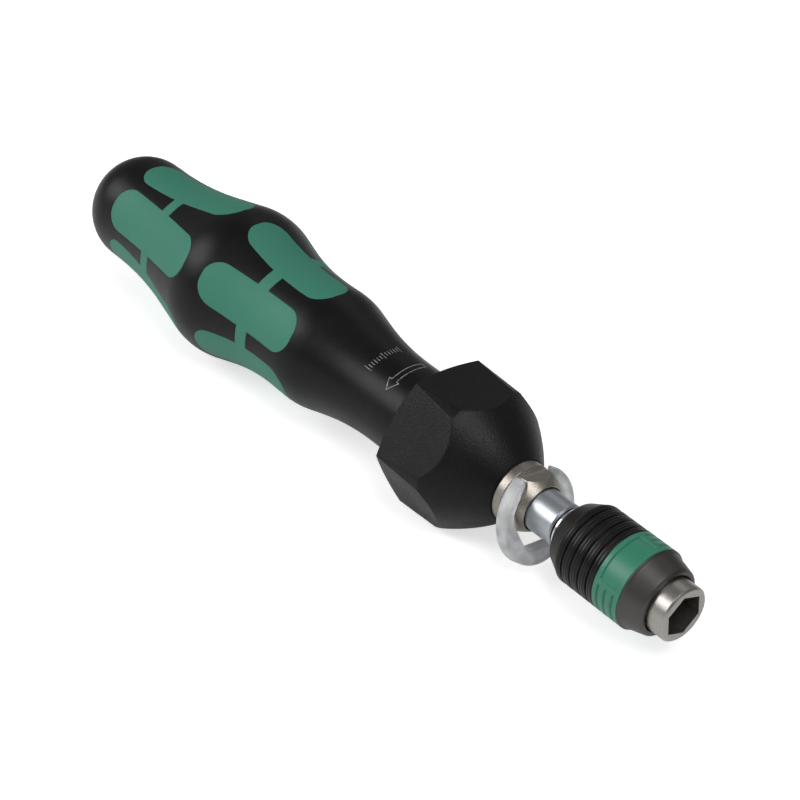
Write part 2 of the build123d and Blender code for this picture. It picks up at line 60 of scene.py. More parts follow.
def place_camera():
    lens = bpy.data.cameras.new("camera")
    lens.lens = LENS
    lens.sensor_width = SENSOR
    lens.clip_start = 0.01
    camera = bpy.data.objects.new("camera", lens)
    turned = Matrix((VIEW_RIGHT, -VIEW_DOWN, -VIEW_FORWARD)).transposed().to_4x4()
    camera.matrix_world = Matrix.Translation(EYE) @ turned
    scene.collection.objects.link(camera)
    scene.camera = camera


place_camera()


# Building blocks of the node trees


def link(tree, source, target):
    tree.links.new(source, target)


def node(tree, kind, label="", **settings):
    made = tree.nodes.new(kind)
    made.label = label
    for name, value in settings.items():
        setattr(made, name, value)
    return made


def start_group(name, inputs, outputs, tree_kind="ShaderNodeTree"):
    """A node group with its input and output nodes; inputs are (name, kind, default)."""
    group = bpy.data.node_groups.new(name, tree_kind)
    for label, kind, default in inputs:
        made = group.interface.new_socket(name=label, in_out="INPUT", socket_type=kind)
        if default is not None:
            made.default_value = default
    for label, kind in outputs:
        group.interface.new_socket(name=label, in_out="OUTPUT", socket_type=kind)
    return group, node(group, "NodeGroupInput"), node(group, "NodeGroupOutput")


def math(tree, operation, first, second=0.0, clamp=False):
    """One sum; each term is a number or a socket."""
    made = node(tree, "ShaderNodeMath", operation=operation, use_clamp=clamp)
    for socket, value in zip(made.inputs, (first, second)):
        if isinstance(value, (int, float)):
            socket.default_value = value
        else:
            link(tree, value, socket)
    return made.outputs[0]


def ramp(tree, factor, low, high, to_low=0.0, to_high=1.0):
    """Maps low to high onto to_low to to_high, and holds the ends."""
    made = node(tree, "ShaderNodeMapRange")
    made.inputs["From Min"].default_value = low
    made.inputs["From Max"].default_value = high
    made.inputs["To Min"].default_value = to_low
    made.inputs["To Max"].default_value = to_high
    link(tree, factor, made.inputs["Value"])
    return made.outputs["Result"]


def mix_colours(tree, factor, first, second):
    """First colour where the factor is 0, second where it is 1; each is a tuple or a socket."""
    made = node(tree, "ShaderNodeMix", data_type="RGBA")
    link(tree, factor, made.inputs["Factor"])
    for socket, value in ((made.inputs[6], first), (made.inputs[7], second)):
        if isinstance(value, tuple):
            socket.default_value = value
        else:
            link(tree, value, socket)
    return made.outputs[2]


def place_group(tree, group, vector, **values):
    """A shader group in a tree, with its values by socket name; an underscore stands for a space."""
    made = node(tree, "ShaderNodeGroup", node_tree=group)
    if "Vector" in made.inputs:
        link(tree, vector, made.inputs["Vector"])
    for name, value in values.items():
        made.inputs[name.replace("_", " ")].default_value = value
    return made


def build_edge_wear():
    """Mask of the outer edges, and the normal that rounds them over a small radius."""
    group, given, out = start_group(
        "edge_wear",
        [
            ("Vector", "NodeSocketVector", None),
            ("Radius", "NodeSocketFloat", 0.0003),
            ("Strength", "NodeSocketFloat", 1.0),
        ],
        [("Mask", "NodeSocketFloat"), ("Normal", "NodeSocketVector")],
    )
    rounded = node(group, "ShaderNodeBevel", samples=6)
    link(group, given.outputs["Radius"], rounded.inputs["Radius"])
    facing = node(group, "ShaderNodeNewGeometry")
    compare = node(group, "ShaderNodeVectorMath", operation="DOT_PRODUCT")
    link(group, rounded.outputs["Normal"], compare.inputs[0])
    link(group, facing.outputs["Normal"], compare.inputs[1])
    edge = ramp(group, compare.outputs["Value"], 0.995, 0.86)
    patches = node(group, "ShaderNodeTexNoise")
    patches.inputs["Scale"].default_value = 900.0
    patches.inputs["Detail"].default_value = 3.0
    link(group, given.outputs["Vector"], patches.inputs["Vector"])
    broken = ramp(group, patches.outputs["Fac"], 0.38, 0.62)
    patchy = math(group, "MULTIPLY", edge, broken)
    worn = math(group, "MULTIPLY", patchy, given.outputs["Strength"], clamp=True)
    link(group, worn, out.inputs["Mask"])
    link(group, rounded.outputs["Normal"], out.inputs["Normal"])
    return group


def build_moulding_grain():
    """Fine leathery grain of moulded plastic, with slow changes in gloss."""
    group, given, out = start_group(
        "moulding_grain",
        [
            ("Vector", "NodeSocketVector", None),
            ("Scale", "NodeSocketFloat", 2500.0),
            ("Gloss Scale", "NodeSocketFloat", 120.0),
        ],
        [("Height", "NodeSocketFloat"), ("Gloss", "NodeSocketFloat")],
    )
    pits = node(group, "ShaderNodeTexVoronoi", feature="SMOOTH_F1")
    pits.inputs["Smoothness"].default_value = 0.6
    link(group, given.outputs["Vector"], pits.inputs["Vector"])
    link(group, given.outputs["Scale"], pits.inputs["Scale"])
    fine = node(group, "ShaderNodeTexNoise")
    fine.inputs["Detail"].default_value = 2.0
    link(group, given.outputs["Vector"], fine.inputs["Vector"])
    link(group, math(group, "MULTIPLY", given.outputs["Scale"], 1.7), fine.inputs["Scale"])
    coarse_part = math(group, "MULTIPLY", pits.outputs["Distance"], 0.7)
    fine_part = math(group, "MULTIPLY", fine.outputs["Fac"], 0.6)
    link(group, math(group, "ADD", coarse_part, fine_part), out.inputs["Height"])
    slow = node(group, "ShaderNodeTexNoise")
    slow.inputs["Detail"].default_value = 4.0
    slow.inputs["Roughness"].default_value = 0.6
    link(group, given.outputs["Vector"], slow.inputs["Vector"])
    link(group, given.outputs["Gloss Scale"], slow.inputs["Scale"])
    link(group, ramp(group, slow.outputs["Fac"], 0.3, 0.7), out.inputs["Gloss"])
    return group


def build_axis_reach():
    """How far a point lies from the X axis."""
    group, given, out = start_group(
        "axis_reach", [("Vector", "NodeSocketVector", None)], [("Radius", "NodeSocketFloat")]
    )
    split = node(group, "ShaderNodeSeparateXYZ")
    link(group, given.outputs["Vector"], split.inputs[0])
    flat = node(group, "ShaderNodeCombineXYZ")
    link(group, split.outputs["Y"], flat.inputs["Y"])
    link(group, split.outputs["Z"], flat.inputs["Z"])
    reach = node(group, "ShaderNodeVectorMath", operation="LENGTH")
    link(group, flat.outputs[0], reach.inputs[0])
    link(group, reach.outputs["Value"], out.inputs["Radius"])
    return group


def build_turning_marks():
    """Fine rings that a lathe leaves round the X axis, as height and as a change in gloss."""
    group, given, out = start_group(
        "turning_marks",
        [("Vector", "NodeSocketVector", None), ("Pitch", "NodeSocketFloat", 0.00012)],
        [("Height", "NodeSocketFloat"), ("Gloss", "NodeSocketFloat")],
    )
    split = node(group, "ShaderNodeSeparateXYZ")
    link(group, given.outputs["Vector"], split.inputs[0])
    reach = place_group(group, AXIS_REACH, given.outputs["Vector"])
    along = math(group, "ADD", split.outputs["X"], reach.outputs["Radius"])
    steps = math(group, "DIVIDE", along, given.outputs["Pitch"])
    place = node(group, "ShaderNodeCombineXYZ")
    link(group, steps, place.inputs["X"])
    rings = node(group, "ShaderNodeTexNoise")
    rings.inputs["Scale"].default_value = 1.0
    rings.inputs["Detail"].default_value = 5.0
    rings.inputs["Roughness"].default_value = 0.7
    link(group, place.outputs[0], rings.inputs["Vector"])
    link(group, rings.outputs["Fac"], out.inputs["Height"])
    link(group, ramp(group, rings.outputs["Fac"], 0.3, 0.7), out.inputs["Gloss"])
    return group


def build_handling_dust():
    """Sparse pale specks and rubs, gathered in patches, as handling leaves them."""
    group, given, out = start_group(
        "handling_dust",
        [("Vector", "NodeSocketVector", None), ("Amount", "NodeSocketFloat", 0.3)],
        [("Mask", "NodeSocketFloat")],
    )
    patches = node(group, "ShaderNodeTexNoise", "patches")
    patches.inputs["Scale"].default_value = 45.0
    patches.inputs["Detail"].default_value = 3.0
    link(group, given.outputs["Vector"], patches.inputs["Vector"])
    specks = node(group, "ShaderNodeTexNoise", "specks")
    specks.inputs["Scale"].default_value = 2600.0
    specks.inputs["Detail"].default_value = 3.0
    specks.inputs["Roughness"].default_value = 0.65
    link(group, given.outputs["Vector"], specks.inputs["Vector"])
    where = ramp(group, patches.outputs["Fac"], 0.5, 0.7)
    grains = ramp(group, specks.outputs["Fac"], 0.56, 0.72)
    gathered = math(group, "MULTIPLY", where, grains)
    rubs = math(group, "MULTIPLY", gathered, given.outputs["Amount"], clamp=True)
    link(group, rubs, out.inputs["Mask"])
    return group


AXIS_REACH = build_axis_reach()
EDGE_WEAR = build_edge_wear()
HANDLING_DUST = build_handling_dust()
MOULDING_GRAIN = build_moulding_grain()
TURNING_MARKS = build_turning_marks()
RECESS_BLEND = 0.00005


def start_material(name, colour, roughness, metallic=0.0):
    """A material with its shader, and the piece's own Object coordinates."""
    material = bpy.data.materials.new(name)
    material.use_nodes = True
    tree = material.node_tree
    tree.nodes.clear()
    out = node(tree, "ShaderNodeOutputMaterial")
    shader = node(tree, "ShaderNodeBsdfPrincipled")
    shader.inputs["Base Color"].default_value = colour
    shader.inputs["Roughness"].default_value = roughness
    shader.inputs["Metallic"].default_value = metallic
    link(tree, shader.outputs["BSDF"], out.inputs["Surface"])
    place = node(tree, "ShaderNodeTexCoord").outputs["Object"]
    material.diffuse_color = colour
    return material, tree, shader, place


def bump(tree, shader, height, distance, normal=None):
    """Relief in the shading, as deep as distance in metres."""
    made = node(tree, "ShaderNodeBump")
    made.inputs["Strength"].default_value = 1.0
    made.inputs["Distance"].default_value = distance
    link(tree, height, made.inputs["Height"])
    if normal is not None:
        link(tree, normal, made.inputs["Normal"])
    link(tree, made.outputs["Normal"], shader.inputs["Normal"])


def shade_of(colour, factor, lift=0.0):
    """The colour, lighter or darker."""
    return tuple(min(1.0, value * factor + lift) for value in colour[:3]) + (1,)


def moulded(
    name, colour, lighter, roughness, spread, grain_scale, grain_depth, edge_radius, wear, dust, specular=0.5
):
    """Moulded plastic or coating: grain, slow change in gloss, paler outer edges and a little dust."""
    material, tree, shader, place = start_material(name, colour, roughness)
    shader.inputs["Specular IOR Level"].default_value = specular
    grain = place_group(tree, MOULDING_GRAIN, place, Scale=grain_scale, Gloss_Scale=90.0)
    gloss = ramp(tree, grain.outputs["Gloss"], 0.0, 1.0, roughness - spread, roughness + spread)
    link(tree, gloss, shader.inputs["Roughness"])
    edges = place_group(tree, EDGE_WEAR, place, Radius=edge_radius, Strength=wear)
    shade = mix_colours(tree, edges.outputs["Mask"], colour, lighter)
    rubbed = place_group(tree, HANDLING_DUST, place, Amount=dust)
    dusty = mix_colours(tree, rubbed.outputs["Mask"], shade, shade_of(lighter, 2.0, 0.05))
    link(tree, dusty, shader.inputs["Base Color"])
    bump(tree, shader, grain.outputs["Height"], grain_depth, edges.outputs["Normal"])
    return material


def turned_metal(name, colour, roughness, spread, pitch, depth, edge_radius, grain=0.0, recess=0.0):
    """Lathe-turned metal: fine rings and softened edges, with a blasted grain, and with painted shade that
    darkens the colour inside a recess radius where one is given.
    """
    material, tree, shader, place = start_material(name, colour, roughness, metallic=1.0)
    rings = place_group(tree, TURNING_MARKS, place, Pitch=pitch)
    gloss = ramp(tree, rings.outputs["Gloss"], 0.0, 1.0, roughness - spread, roughness + spread)
    link(tree, gloss, shader.inputs["Roughness"])
    edges = place_group(tree, EDGE_WEAR, place, Radius=edge_radius)
    bump(tree, shader, rings.outputs["Height"], depth, edges.outputs["Normal"])
    shade = colour
    if grain:
        blasted = node(tree, "ShaderNodeTexNoise", "blasted grain")
        blasted.inputs["Scale"].default_value = 5200.0
        blasted.inputs["Detail"].default_value = 2.0
        link(tree, place, blasted.inputs["Vector"])
        spots = ramp(tree, blasted.outputs["Fac"], 0.35, 0.65)
        shade = mix_colours(tree, spots, shade_of(colour, 1.0 - grain), shade_of(colour, 1.0 + grain))
    # Painted shade: below the recess radius the colour is darkened to 0.22 of itself. This stands in for the
    # shade and dark reflection in a necked groove.
    if recess:
        reach = place_group(tree, AXIS_REACH, place)
        inside = ramp(tree, reach.outputs["Radius"], recess + RECESS_BLEND, recess - RECESS_BLEND)
        shade = mix_colours(tree, inside, shade, shade_of(colour, 0.22))
    if shade is not colour:
        link(tree, shade, shader.inputs["Base Color"])
    return material


def cloudy_plastic():
    """Clear plastic gone milky, with flow streaks: it lets light through without showing what is behind."""
    material, tree, shader, place = start_material("clip_clear", (0.8, 0.81, 0.82, 1), 0.28)
    shader.inputs["Transmission Weight"].default_value = 0.55
    shader.inputs["IOR"].default_value = 1.4
    streaks = node(tree, "ShaderNodeTexNoise", "flow streaks")
    streaks.inputs["Scale"].default_value = 210.0
    streaks.inputs["Detail"].default_value = 2.0
    streaks.inputs["Distortion"].default_value = 1.2
    link(tree, place, streaks.inputs["Vector"])
    milk = ramp(tree, streaks.outputs["Fac"], 0.35, 0.65)
    shade = mix_colours(tree, milk, (0.6, 0.61, 0.62, 1), (0.96, 0.97, 0.98, 1))
    link(tree, shade, shader.inputs["Base Color"])
    bump(tree, shader, streaks.outputs["Fac"], 0.0002)
    return material


def printed_marks():
    """Pale ink of the marks on the handle's neck, thin and slightly worn."""
    material, tree, shader, place = start_material("mark_ink", (0.3, 0.31, 0.32, 1), 0.5)
    worn = node(tree, "ShaderNodeTexNoise", "worn ink")
    worn.inputs["Scale"].default_value = 1800.0
    worn.inputs["Detail"].default_value = 4.0
    link(tree, place, worn.inputs["Vector"])
    patches = ramp(tree, worn.outputs["Fac"], 0.35, 0.6)
    shade = mix_colours(tree, patches, (0.12, 0.12, 0.125, 1), (0.34, 0.35, 0.36, 1))
    link(tree, shade, shader.inputs["Base Color"])
    return material


handle_black = moulded(
    "handle_black", (0.003, 0.0032, 0.0035, 1), (0.014, 0.0145, 0.015, 1), roughness=0.38, spread=0.05,
    grain_scale=3200.0, grain_depth=0.000012, edge_radius=0.0003, wear=0.5, dust=0.15, specular=0.22,
)
grip_green = moulded(
    "grip_green", (0.033, 0.2, 0.135, 1), (0.05, 0.27, 0.185, 1), roughness=0.62, spread=0.05,
    grain_scale=3600.0, grain_depth=0.00002, edge_radius=0.0003, wear=0.5, dust=0.12,
)
nose_black = moulded(
    "nose_black", (0.003, 0.0032, 0.0035, 1), (0.014, 0.0145, 0.015, 1), roughness=0.42, spread=0.08,
    grain_scale=3600.0, grain_depth=0.00005, edge_radius=0.0005, wear=0.5, dust=0.2, specular=0.22,
)
marker_green = moulded(
    "marker_green", (0.028, 0.2, 0.122, 1), (0.06, 0.3, 0.19, 1), roughness=0.4, spread=0.05,
    grain_scale=2600.0, grain_depth=0.00001, edge_radius=0.00012, wear=0.6, dust=0.2,
)
grip_sleeve_black = moulded(
    "grip_sleeve_black", (0.003, 0.003, 0.0032, 1), (0.014, 0.014, 0.0145, 1), roughness=0.34, spread=0.06,
    grain_scale=2200.0, grain_depth=0.00002, edge_radius=0.0001, wear=0.5, dust=0.15, specular=0.27,
)
sleeve_grey = turned_metal(
    "sleeve_grey", (0.1, 0.095, 0.089, 1), roughness=0.44, spread=0.05,
    pitch=0.00025, depth=0.000003, edge_radius=0.0002,
)
collar_black = turned_metal(
    "collar_black", (0.07, 0.067, 0.064, 1), roughness=0.42, spread=0.05,
    pitch=0.00025, depth=0.000003, edge_radius=0.0002,
)
nut_nickel = turned_metal(
    "nut_nickel", (0.33, 0.305, 0.265, 1), roughness=0.4, spread=0.07,
    pitch=0.00015, depth=0.000008, edge_radius=0.00012, grain=0.24,
)
# The spindle's necked groove gets painted shade: its colour darkens below a radius of 3.8 mm.
spindle_chrome = turned_metal(
    "spindle_chrome", (0.48, 0.51, 0.54, 1), roughness=0.38, spread=0.04,
    pitch=0.0002, depth=0.000003, edge_radius=0.0001, recess=0.0038,
)
ring_chrome = turned_metal(
    "ring_chrome", (0.75, 0.77, 0.8, 1), roughness=0.22, spread=0.04,
    pitch=0.0002, depth=0.000003, edge_radius=0.0001,
)
bushing_steel = turned_metal(
    "bushing_steel", (0.38, 0.365, 0.34, 1), roughness=0.34, spread=0.07,
    pitch=0.0002, depth=0.000006, edge_radius=0.0001, grain=0.12,
)
inner_steel = turned_metal(
    "inner_steel", (0.45, 0.45, 0.45, 1), roughness=0.35, spread=0.08,
    pitch=0.0002, depth=0.000004, edge_radius=0.0001,
)
spring_steel = turned_metal(
    "spring_steel", (0.38, 0.38, 0.4, 1), roughness=0.32, spread=0.06,
    pitch=0.0003, depth=0.000002, edge_radius=0.0001,
)
ball_steel = turned_metal(
    "ball_steel", (0.7, 0.7, 0.7, 1), roughness=0.15, spread=0.04,
    pitch=0.0003, depth=0.000001, edge_radius=0.0001,
)
cage_brass = turned_metal(
    "cage_brass", (0.6, 0.42, 0.17, 1), roughness=0.35, spread=0.08,
    pitch=0.0002, depth=0.000004, edge_radius=0.0001,
)
clip_clear = cloudy_plastic()
mark_ink = printed_marks()

FINISHES = {
    "handle_black": handle_black,
    "grip_green": grip_green,
    "nose_black": nose_black,
    "nut_nickel": nut_nickel,
    "clip_clear": clip_clear,
    "spindle_chrome": spindle_chrome,
    "bushing_steel": bushing_steel,
    "sleeve_grey": sleeve_grey,
    "marker_green": marker_green,
    "grip_sleeve_black": grip_sleeve_black,
    "collar_black": collar_black,
    "inner_steel": inner_steel,
    "spring_steel": spring_steel,
    "ball_steel": ball_steel,
    "cage_brass": cage_brass,
}
for part in frame["record"]["subparts"]:
    for slot in nodes[part["node"]].material_slots:
        slot.material = FINISHES[part["material_slot"]]


# Turned pieces with more relief than the CAD carries; lengths in mm, angles in degrees from up towards -Y


def extent(name):
    """Front, rear, smallest and largest radius of a CAD node, in mm."""
    points = [nodes[name].matrix_world @ vertex.co for vertex in nodes[name].data.vertices]
    along = [point.x / MM for point in points]
    radii = [hypot(point.y, point.z) / MM for point in points]
    return [round(value, 3) for value in (max(along), min(along), min(radii), max(radii))]


RING_FRONT, RING_REAR, RING_BORE, SLEEVE_RADIUS = extent("marker_ring")
GRIP_FRONT, GRIP_REAR, GRIP_BORE, GRIP_RADIUS = extent("grip_sleeve")
NUT_FRONT, NUT_REAR, NUT_BORE, COLLAR_RADIUS = extent("adjusting_nut")
NOSE_FRONT = extent("nose_housing")[0]

# The marker ring's panels and finger grooves, and the grip's ribs
EDGE = 0.12
PANEL_FRONT, PANEL_REAR = RING_FRONT - 0.85, RING_REAR + 1.03
PANEL_CENTRE, PANEL_SPAN = 34.0, 80.0
PANEL_DEPTH, PANEL_CORNER, PANEL_FLANK = 0.24, 0.45, 0.1
GROOVE_STATIONS = [RING_FRONT - 1.3 - 1.7 * k for k in range(3)]
GROOVE_CENTRE, GROOVE_SPAN = 124.0, 86.0
GROOVE_DEPTH, GROOVE_HALF_WIDTH, GROOVE_FLANK = 0.3, 0.2, 0.2
RIB_SIZES = {
    "Skin Radius": SLEEVE_RADIUS - EDGE / 2,
    "Pitch": 2.0,
    "First Groove": RING_REAR - 1.5,
    "Groove Mouth": 0.26,
    "Groove Floor": 0.12,
    "Groove Depth": 0.34,
    "Crown Mouth": 0.55,
    "Crown Floor": 0.15,
    "Crown Depth": 0.05,
    "Line Offset": 0.68,
    "Line Mouth": 0.104,
    "Line Floor": 0.024,
    "Line Depth": 0.11,
}

# The nut, from its front face to its threaded collar
FLAT_RADIUS, CORNER_RADIUS, BASE_RADIUS, FACE_RADIUS = 5.3, 6.05, 6.2, 4.65
CONE_REAR, BASE_FRONT, COLLAR_FRONT = NUT_FRONT - 2.3, NOSE_FRONT + 1.7, NOSE_FRONT - 6.1
CORNER_REAR = BASE_FRONT + 0.05
FLAT_TURN, CORNER_SIDES = -6.0, (28.84, 31.16)
CUTTER_RADIUS, RUN_OUT = 1.1, 1.4
MOUTH_RADIUS, MOUTH_DEPTH = 4.46, 1.2
THREADS, THREAD_PITCH, THREAD_CREST, THREAD_DEPTH = 7, 0.75, 0.5, 0.4

# The bright ring on the spindle
BRIGHT_FRONT, BRIGHT_REAR = -27.3, -27.8
BRIGHT_BORE, BRIGHT_RADIUS, BRIGHT_EDGE = 3.63, 4.38, 0.08


def stations(start, end, step, edges, spread):
    """Even stations from start to end, with close pairs beside each edge."""
    count = max(1, round(abs(end - start) / step))
    even = [start + (end - start) * k / count for k in range(count + 1)]
    close = [edge + spread * k for edge in edges for k in (-1.5, -0.5, 0.5, 1.5)]
    low, high = min(start, end), max(start, end)
    close = [value for value in close if low < value < high]
    kept = [value for value in even if all(abs(value - other) > 0.6 * spread for other in close)]
    return sorted(set(kept + close), reverse=end < start)


def settle(value):
    """Nought to one, with soft ends."""
    value = min(1.0, max(0.0, value))
    return value * value * (3.0 - 2.0 * value)


def ring_mesh(name, section, angles, cut=None):
    """Closed ring about X from a section of (x, radius) points; cut(x, radius, angle) is taken off them."""
    points = []
    for angle in angles:
        turn = radians(angle)
        for x, radius in section:
            reach = radius - cut(x, radius, angle) if cut else radius
            points.append((x * MM, -reach * sin(turn) * MM, reach * cos(turn) * MM))
    size = len(section)
    faces = []
    for a in range(len(angles)):
        b = (a + 1) % len(angles)
        for i in range(size):
            j = (i + 1) % size
            faces.append((a * size + i, a * size + j, b * size + j, b * size + i))
    mesh = bpy.data.meshes.new(name)
    mesh.from_pydata(points, [], faces)
    return mesh


def settled_object(name, mesh, crease=38.0):
    """Outward faces, smooth with creases over that angle kept sharp, on an object at the origin."""
    loose = bmesh.new()
    loose.from_mesh(mesh)
    bmesh.ops.recalc_face_normals(loose, faces=loose.faces)
    loose.to_mesh(mesh)
    loose.free()
    mesh.shade_smooth()
    mesh.set_sharp_from_angle(angle=radians(crease))
    made = bpy.data.objects.new(name, mesh)
    scene.collection.objects.link(made)
    return made


def end_group(group, geometry, material, out):
    """Every tree ends with its instances made real and its material set."""
    real = node(group, "GeometryNodeRealizeInstances")
    link(group, geometry, real.inputs["Geometry"])
    dressed = node(group, "GeometryNodeSetMaterial")
    link(group, real.outputs["Geometry"], dressed.inputs["Geometry"])
    link(group, material, dressed.inputs["Material"])
    link(group, dressed.outputs["Geometry"], out.inputs["Geometry"])


def run_group(group, values, mesh):
    """What the Geometry Nodes group makes of a mesh, as a plain mesh; its modifier goes with its object."""
    holder = bpy.data.objects.new(group.name, mesh)
    scene.collection.objects.link(holder)
    maker = holder.modifiers.new(group.name, "NODES")
    maker.node_group = group
    for item in group.interface.items_tree:
        if item.in_out == "INPUT" and item.name in values:
            maker[item.identifier] = values[item.name]
    bpy.context.view_layer.update()
    made = bpy.data.meshes.new_from_object(holder.evaluated_get(bpy.context.evaluated_depsgraph_get()))
    bpy.data.objects.remove(holder)
    return made


def ring_cut(x, radius, angle):
    """Depth off the marker ring: a bare sunk panel on two sides, three finger grooves on the others."""
    if radius < SLEEVE_RADIUS:
        return 0.0
    beside = (angle - PANEL_CENTRE + 90.0) % 180.0 - 90.0
    half_round = radians(PANEL_SPAN / 2) * SLEEVE_RADIUS
    half_long = (PANEL_FRONT - PANEL_REAR) / 2
    across = abs(radians(beside) * SLEEVE_RADIUS) - half_round + PANEL_CORNER
    along = abs(x - (PANEL_FRONT + PANEL_REAR) / 2) - half_long + PANEL_CORNER
    outside = hypot(max(across, 0.0), max(along, 0.0)) + min(max(across, along), 0.0) - PANEL_CORNER
    depth = PANEL_DEPTH * settle(0.5 - outside / PANEL_FLANK)
    beside = (angle - GROOVE_CENTRE + 90.0) % 180.0 - 90.0
    reach = radians(GROOVE_SPAN / 2) * SLEEVE_RADIUS - GROOVE_HALF_WIDTH
    past = max(abs(radians(beside) * SLEEVE_RADIUS) - reach, 0.0)
    for station in GROOVE_STATIONS:
        outside = hypot(past, x - station) - GROOVE_HALF_WIDTH
        depth = max(depth, GROOVE_DEPTH * settle(0.5 - outside / GROOVE_FLANK))
    return depth


def dress_marker_ring():
    edges = [PANEL_FRONT, PANEL_REAR, *GROOVE_STATIONS]
    skin = stations(RING_FRONT - EDGE, RING_REAR + EDGE, 0.2, edges, 0.07)
    section = [(RING_FRONT, SLEEVE_RADIUS - EDGE)]
    section += [(x, SLEEVE_RADIUS) for x in skin]
    section += [(RING_REAR, SLEEVE_RADIUS - EDGE), (RING_REAR, RING_BORE), (RING_FRONT, RING_BORE)]
    ends = [PANEL_CENTRE - PANEL_SPAN / 2, PANEL_CENTRE + PANEL_SPAN / 2]
    ends += [GROOVE_CENTRE - GROOVE_SPAN / 2, GROOVE_CENTRE + GROOVE_SPAN / 2]
    ends = [end + half for end in ends for half in (-180.0, 0.0, 180.0)]
    angles = stations(-90.0, 270.0, 1.0, ends, 0.5)[:-1]
    mesh = ring_mesh("marker_ring_relief", section, angles, ring_cut)
    mesh.materials.append(marker_green)
    ring = settled_object("marker_ring_relief", mesh)
    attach(ring, "grip_sleeve")
    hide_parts("marker_ring")


def soft_cut(group, aside, mouth, floor, depth):
    """Depth of a cut with soft flanks, from nothing at its mouth to the full depth at its floor."""
    made = node(group, "ShaderNodeMapRange", interpolation_type="SMOOTHSTEP")
    link(group, aside, made.inputs["Value"])
    link(group, mouth, made.inputs["From Min"])
    link(group, floor, made.inputs["From Max"])
    made.inputs["To Min"].default_value = 0.0
    link(group, depth, made.inputs["To Max"])
    return made.outputs["Result"]


def grip_ribs_group():
    """Cuts the skin of a plain ring into crowned ribs: a deep groove each pitch, two scored lines a rib."""
    inputs = [("Geometry", "NodeSocketGeometry", None)]
    inputs += [(name, "NodeSocketFloat", size * MM) for name, size in RIB_SIZES.items()]
    inputs += [("Material", "NodeSocketMaterial", None)]
    outputs = [("Geometry", "NodeSocketGeometry")]
    group, given, out = start_group("grip_ribs", inputs, outputs, "GeometryNodeTree")
    sizes = given.outputs
    split = node(group, "ShaderNodeSeparateXYZ")
    link(group, node(group, "GeometryNodeInputPosition").outputs[0], split.inputs[0])
    outward = node(group, "ShaderNodeCombineXYZ", "outward")
    link(group, split.outputs["Y"], outward.inputs["Y"])
    link(group, split.outputs["Z"], outward.inputs["Z"])
    radius = node(group, "ShaderNodeVectorMath", "radius", operation="LENGTH")
    link(group, outward.outputs[0], radius.inputs[0])
    along = math(group, "SUBTRACT", split.outputs["X"], sizes["First Groove"])
    aside = math(group, "PINGPONG", along, math(group, "MULTIPLY", sizes["Pitch"], 0.5))
    from_line = math(group, "ABSOLUTE", math(group, "SUBTRACT", aside, sizes["Line Offset"]))
    groove = soft_cut(group, aside, sizes["Groove Mouth"], sizes["Groove Floor"], sizes["Groove Depth"])
    crown = soft_cut(group, aside, sizes["Crown Mouth"], sizes["Crown Floor"], sizes["Crown Depth"])
    line = soft_cut(group, from_line, sizes["Line Mouth"], sizes["Line Floor"], sizes["Line Depth"])
    depth = math(group, "MAXIMUM", math(group, "MAXIMUM", groove, crown), line)
    inward = node(group, "ShaderNodeVectorMath", "inward", operation="NORMALIZE")
    link(group, outward.outputs[0], inward.inputs[0])
    shift = node(group, "ShaderNodeVectorMath", "shift", operation="SCALE")
    link(group, inward.outputs["Vector"], shift.inputs[0])
    link(group, math(group, "MULTIPLY", depth, -1.0), shift.inputs["Scale"])
    ribbed = node(group, "GeometryNodeSetPosition")
    link(group, sizes["Geometry"], ribbed.inputs["Geometry"])
    on_skin = math(group, "GREATER_THAN", radius.outputs["Value"], sizes["Skin Radius"])
    link(group, on_skin, ribbed.inputs["Selection"])
    link(group, shift.outputs["Vector"], ribbed.inputs["Offset"])
    end_group(group, ribbed.outputs["Geometry"], sizes["Material"], out)
    return group


def dress_grip():
    skin = stations(RING_REAR - EDGE, GRIP_REAR + EDGE, 0.06, [], 0.02)
    section = [(GRIP_FRONT, RING_BORE), (RING_REAR, RING_BORE), (RING_REAR, GRIP_RADIUS - EDGE)]
    section += [(x, GRIP_RADIUS) for x in skin]
    section += [(GRIP_REAR, GRIP_RADIUS - EDGE), (GRIP_REAR, GRIP_BORE), (GRIP_FRONT, GRIP_BORE)]
    angles = [360.0 * k / 256 for k in range(256)]
    plain = ring_mesh("plain_grip", section, angles)
    values = {name: size * MM for name, size in RIB_SIZES.items()}
    values["Material"] = grip_sleeve_black
    grip = settled_object("grip_sleeve_ribs", run_group(grip_ribs_group(), values, plain))
    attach(grip, "grip_sleeve")
    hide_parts("grip_sleeve")


def nut_cut(x, radius, angle):
    """Depth off the nut: its front cone, turned corners, and six flats that run out before the base."""
    if radius != BASE_RADIUS or x < NOSE_FRONT:
        return 0.0
    turned = BASE_RADIUS - CORNER_RADIUS if x > CORNER_REAR else 0.0
    if x > CONE_REAR:
        share = (x - CONE_REAR) / (NUT_FRONT - CONE_REAR)
        turned = BASE_RADIUS - CORNER_RADIUS + (CORNER_RADIUS - FACE_RADIUS) * share
    beside = radians((angle - FLAT_TURN + 30.0) % 60.0 - 30.0)
    rising = max(0.0, BASE_FRONT + RUN_OUT - x)
    flat = BASE_RADIUS - FLAT_RADIUS / cos(beside) - rising * rising / (2 * CUTTER_RADIUS)
    return max(turned, flat, 0.0)


